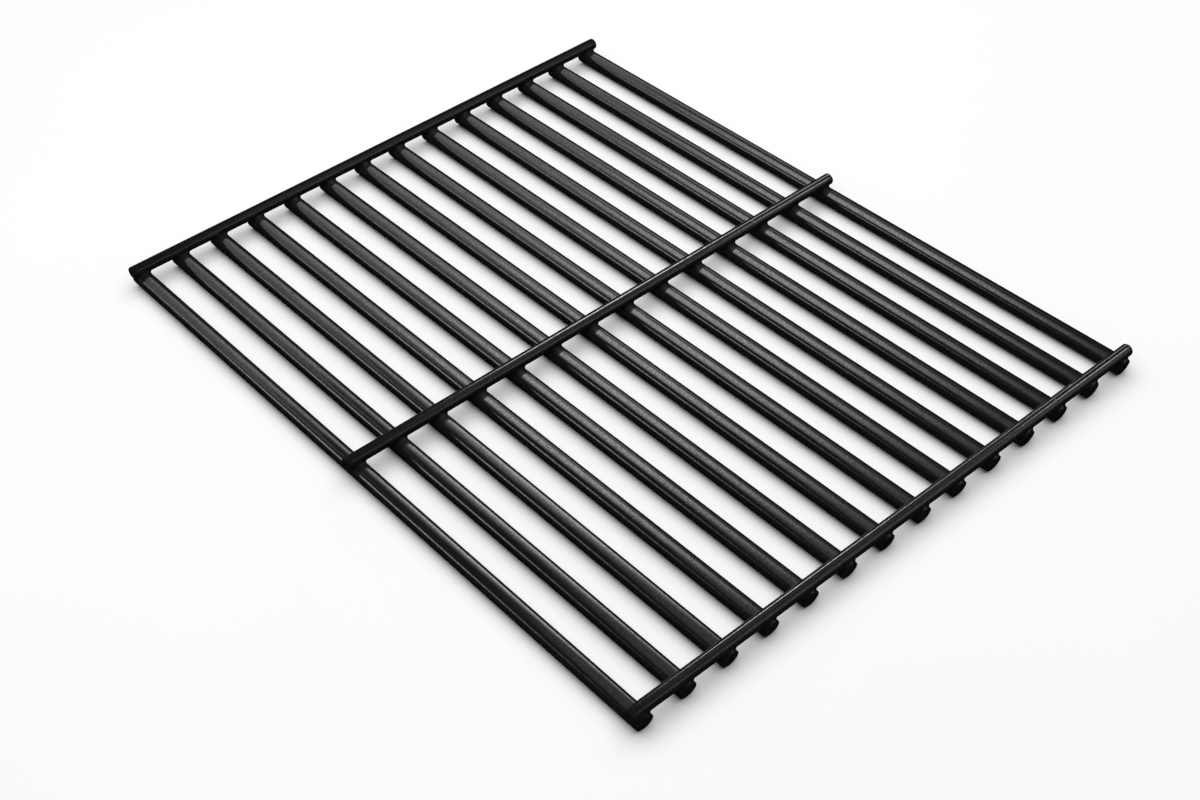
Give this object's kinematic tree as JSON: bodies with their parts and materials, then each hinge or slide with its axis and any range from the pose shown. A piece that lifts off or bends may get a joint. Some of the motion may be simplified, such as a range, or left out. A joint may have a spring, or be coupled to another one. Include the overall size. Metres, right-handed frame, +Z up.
{
  "type": "grill cooking grate",
  "caption": "Flat rectangular cooking grate of parallel round steel bars with thinner cross rods welded across the top, in semi-gloss black enamel.",
  "frame": {"origin": "on the plane that the bars lie on, under the middle of the grate", "axes": "+X along the bars towards the front cross rod, +Y along the cross rods, +Z up, from the bars to the cross rods"},
  "size_m": [0.375, 0.3, 0.0132],
  "materials": {
    "black_enamel": "semi-gloss black porcelain enamel over steel wire"
  },
  "bodies": {
    "root": {"grate_bar_01": "black_enamel", "grate_bar_02": "black_enamel", "grate_bar_03": "black_enamel", "grate_bar_04": "black_enamel", "grate_bar_05": "black_enamel", "grate_bar_06": "black_enamel", "grate_bar_07": "black_enamel", "grate_bar_08": "black_enamel", "grate_bar_09": "black_enamel", "grate_bar_10": "black_enamel", "grate_bar_11": "black_enamel", "grate_bar_12": "black_enamel", "grate_bar_13": "black_enamel", "grate_bar_14": "black_enamel", "rear_cross_rod": "black_enamel", "middle_cross_rod": "black_enamel", "front_cross_rod": "black_enamel"}
  },
  "joints": []
}
